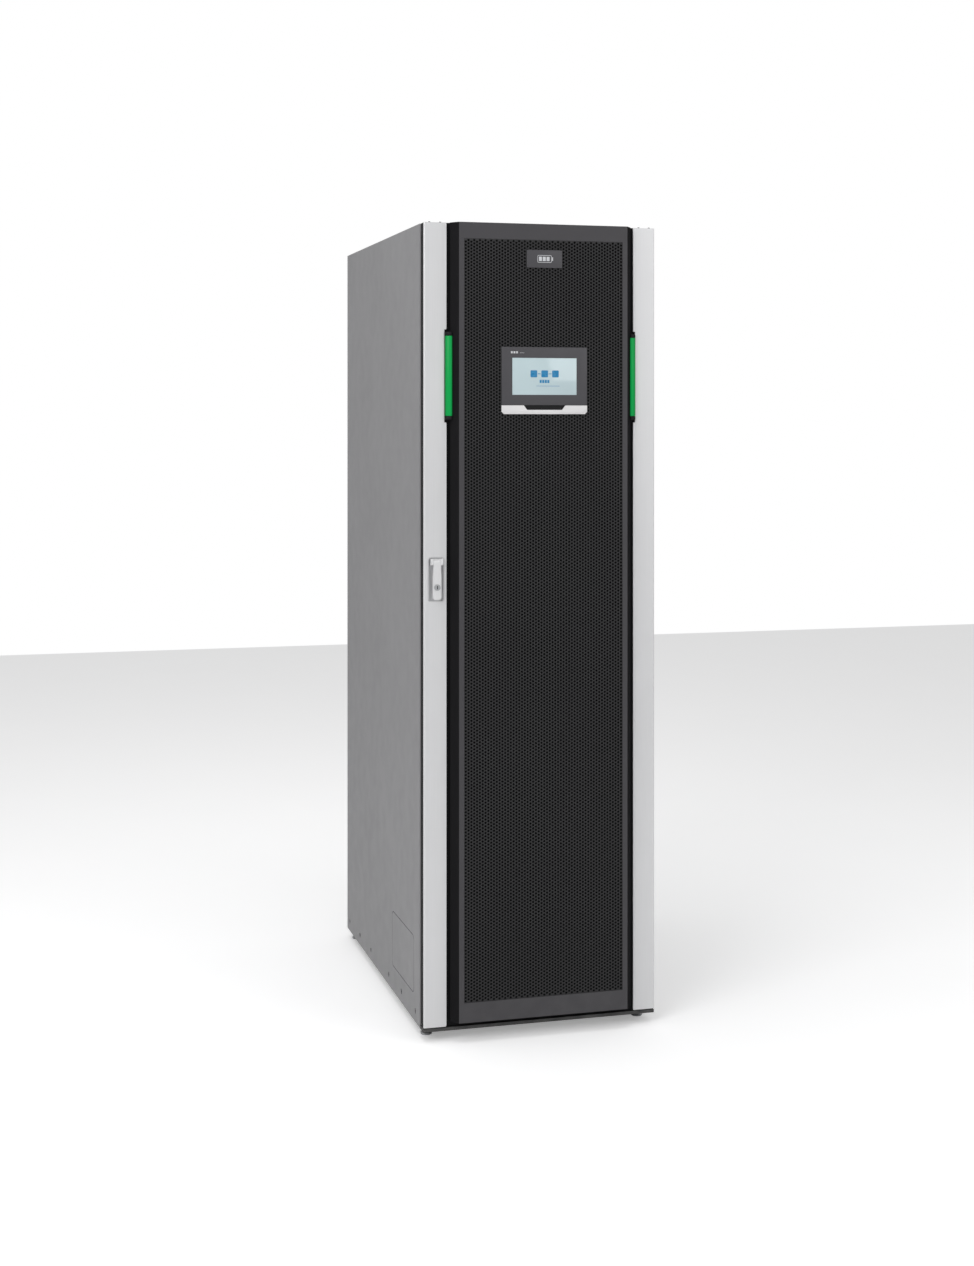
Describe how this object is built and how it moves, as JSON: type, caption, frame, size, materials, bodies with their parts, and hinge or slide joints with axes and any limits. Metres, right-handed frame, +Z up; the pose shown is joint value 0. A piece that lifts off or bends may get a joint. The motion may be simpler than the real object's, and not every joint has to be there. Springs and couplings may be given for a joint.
{
  "type": "battery-backed power cabinet",
  "caption": "Floor-standing battery-backed power cabinet with a hinged perforated door, display, light bars, swing handle, battery modules and power electronics.",
  "frame": {"origin": "middle of the footprint on the floor, from the display's face to the rear panel", "axes": "+Z up, -Y towards the door's face, +X to the right as seen from the front; the door is hinged on +X"},
  "size_m": [0.56, 0.943, 1.876],
  "materials": {
    "side_paint": "fine-textured grey powder coat",
    "door_paint": "dark grey powder coat",
    "dark_steel": "black powder coat",
    "satin_aluminium": "satin anodised",
    "lever_metal": "satin die-cast",
    "zinc_steel": "zinc plated",
    "green_lens": "translucent green",
    "display_plastic": "fine texture",
    "pale_plastic": "satin",
    "screen_glass": "glossy screen",
    "black_plastic": "matt black",
    "module_case": "black textured",
    "battery_case": "moulded",
    "orange_lead": "insulated lead"
  },
  "bodies": {
    "root": {"base_frame": "dark_steel", "floor_plate": "zinc_steel", "front_left_post": "zinc_steel", "front_right_post": "zinc_steel", "rear_left_post": "zinc_steel", "rear_right_post": "zinc_steel", "top_frame": "dark_steel", "roof_panel": "side_paint", "roof_cable_plate": "side_paint", "left_side_panel": "side_paint", "right_side_panel": "side_paint", "left_knockout_plate": "side_paint", "right_knockout_plate": "side_paint", "rear_panel": "side_paint", "rear_grille": "dark_steel", "upper_hinge_bracket": "zinc_steel", "lower_hinge_bracket": "zinc_steel", "upper_hinge_pin": "zinc_steel", "lower_hinge_pin": "zinc_steel", "upper_latch_keeper": "zinc_steel", "lower_latch_keeper": "zinc_steel", "battery_rack": "zinc_steel", "battery_module_1": "battery_case", "battery_module_2": "battery_case", "battery_module_3": "battery_case", "battery_module_4": "battery_case", "power_module": "module_case", "static_switch_module": "module_case", "breaker_panel": "side_paint", "battery_breaker": "black_plastic", "bypass_switch": "black_plastic", "battery_lead": "orange_lead"},
    "door": {"door_frame": "dark_steel", "centre_panel": "door_paint", "perforated_sheet": "door_paint", "left_trim": "satin_aluminium", "right_trim": "satin_aluminium", "left_light_bar": "green_lens", "right_light_bar": "green_lens", "badge_plate": "display_plastic", "display_housing": "display_plastic", "display_screen": "screen_glass", "display_trim": "pale_plastic", "upper_hinge_leaf": "zinc_steel", "lower_hinge_leaf": "zinc_steel", "handle_dish": "black_plastic", "lock_case": "zinc_steel"},
    "spindle": {"handle_spindle": "zinc_steel"},
    "lever": {"handle_lever": "lever_metal"},
    "cylinder": {"lock_cylinder": "black_plastic"},
    "upper_rod": {"upper_latch_rod": "zinc_steel"},
    "lower_rod": {"lower_latch_rod": "zinc_steel"},
    "left_fan": {"left_fan_rotor": "black_plastic"},
    "right_fan": {"right_fan_rotor": "black_plastic"},
    "breaker_lever": {"battery_breaker_lever": "pale_plastic"},
    "bypass_knob": {"bypass_switch_knob": "black_plastic"},
    "front_left_foot_body": {"front_left_foot": "black_plastic"},
    "front_right_foot_body": {"front_right_foot": "black_plastic"},
    "rear_left_foot_body": {"rear_left_foot": "black_plastic"},
    "rear_right_foot_body": {"rear_right_foot": "black_plastic"}
  },
  "joints": [
    {"name": "door_hinge", "type": "hinge", "parent": "root", "child": "door", "pos_m": [0.27, -0.419, 0.945], "axis": [0, 0, 1], "range_deg": [0, 110]},
    {"name": "handle_turn", "type": "hinge", "parent": "door", "child": "spindle", "pos_m": [-0.2505, -0.449, 1.097], "axis": [0, 1, 0], "range_deg": [0, 90]},
    {"name": "handle_fold", "type": "hinge", "parent": "spindle", "child": "lever", "pos_m": [-0.2505, -0.449, 1.097], "axis": [-1, 0, 0], "range_deg": [0, 35]},
    {"name": "lock_turn", "type": "hinge", "parent": "lever", "child": "cylinder", "pos_m": [-0.2505, -0.449, 1.04], "axis": [0, 1, 0], "range_deg": [0, 90]},
    {"name": "upper_rod_slide", "type": "slide", "parent": "door", "child": "upper_rod", "axis": [0, 0, -1], "range_m": [0, 0.01415]},
    {"name": "lower_rod_slide", "type": "slide", "parent": "door", "child": "lower_rod", "axis": [0, 0, 1], "range_m": [0, 0.01415]},
    {"name": "left_fan_spin", "type": "hinge", "parent": "root", "child": "left_fan", "pos_m": [-0.1, -0.3375, 0.9789], "axis": [0, 1, 0], "continuous": true},
    {"name": "right_fan_spin", "type": "hinge", "parent": "root", "child": "right_fan", "pos_m": [0.1, -0.3375, 0.9789], "axis": [0, 1, 0], "continuous": true},
    {"name": "battery_breaker_throw", "type": "hinge", "parent": "root", "child": "breaker_lever", "pos_m": [-0.095, -0.3675, 1.4442], "axis": [1, 0, 0], "range_deg": [0, 56]},
    {"name": "bypass_switch_turn", "type": "hinge", "parent": "root", "child": "bypass_knob", "pos_m": [0.105, -0.3668, 1.4442], "axis": [0, 1, 0], "range_deg": [0, 90]},
    {"name": "front_left_foot_screw", "type": "slide", "parent": "root", "child": "front_left_foot_body", "axis": [0, 0, -1], "range_m": [0, 0.018]},
    {"name": "front_right_foot_screw", "type": "slide", "parent": "root", "child": "front_right_foot_body", "axis": [0, 0, -1], "range_m": [0, 0.018]},
    {"name": "rear_left_foot_screw", "type": "slide", "parent": "root", "child": "rear_left_foot_body", "axis": [0, 0, -1], "range_m": [0, 0.018]},
    {"name": "rear_right_foot_screw", "type": "slide", "parent": "root", "child": "rear_right_foot_body", "axis": [0, 0, -1], "range_m": [0, 0.018]}
  ],
  "couplings": [
    {"joint": "upper_rod_slide", "follows": "handle_turn", "m_per_rad": 0.009},
    {"joint": "lower_rod_slide", "follows": "handle_turn", "m_per_rad": 0.009}
  ]
}
